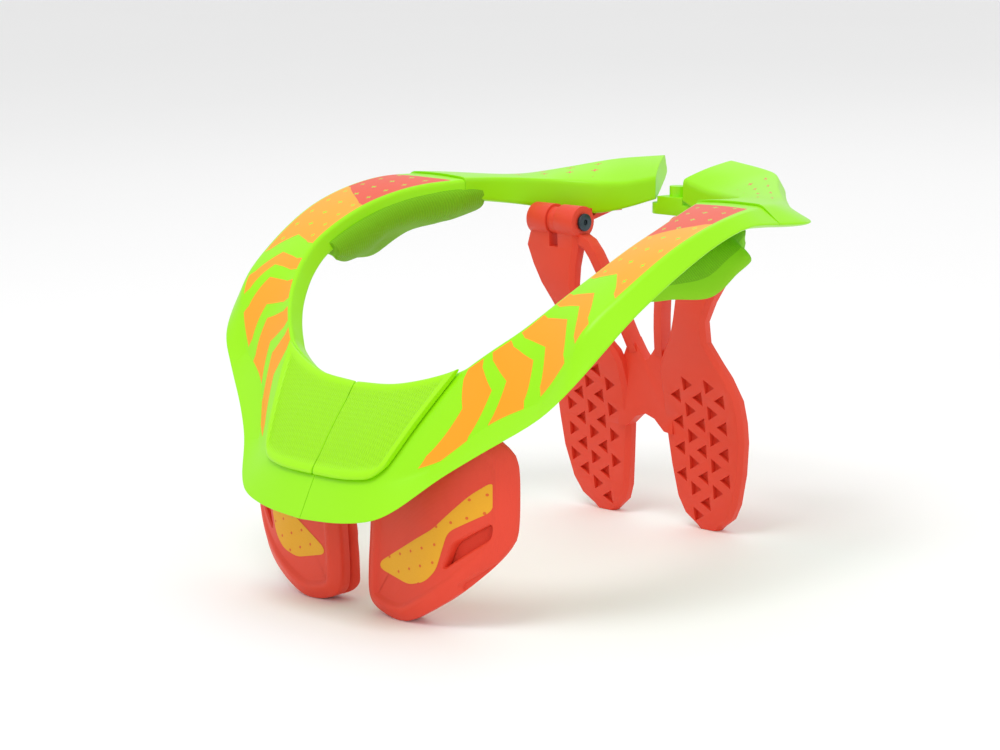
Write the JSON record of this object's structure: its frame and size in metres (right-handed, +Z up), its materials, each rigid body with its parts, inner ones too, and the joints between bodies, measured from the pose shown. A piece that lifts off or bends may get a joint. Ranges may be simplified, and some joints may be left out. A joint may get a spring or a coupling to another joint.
{
  "type": "motocross neck brace",
  "caption": "Rigid neck brace that rests on the shoulders: a sloping collar with a rear deck, padded shoulder flaps, chest plates and tilting back wings.",
  "frame": {"origin": "middle of the bounding box on the floor that the four feet stand on", "axes": "+X to the wearer's left, +Y behind the wearer, +Z up"},
  "size_m": [0.2542, 0.274, 0.178],
  "materials": {
    "shell": "satin moulded shell",
    "insert": "finely ribbed insert",
    "pad": "ribbed soft padding",
    "plate": "satin moulded plastic",
    "liner": "soft foam liner",
    "bolt": "dark steel"
  },
  "bodies": {
    "root": {"left_arm": "shell", "right_arm": "shell", "left_deck": "shell", "right_deck": "shell", "left_insert": "insert", "right_insert": "insert", "left_shoulder_pad": "pad", "right_shoulder_pad": "pad", "left_chest_plate": "plate", "right_chest_plate": "plate", "left_chest_liner": "liner", "right_chest_liner": "liner", "left_wing_bracket": "plate", "right_wing_bracket": "plate", "hub": "shell"},
    "wings": {"wings": "plate", "left_wing_bolt": "bolt", "right_wing_bolt": "bolt"}
  },
  "joints": [
    {"name": "wings_tilt", "type": "hinge", "parent": "root", "child": "wings", "pos_m": [0, 0.08253, 0.14974], "axis": [1, 0, 0], "range_deg": [-10, 10]}
  ]
}
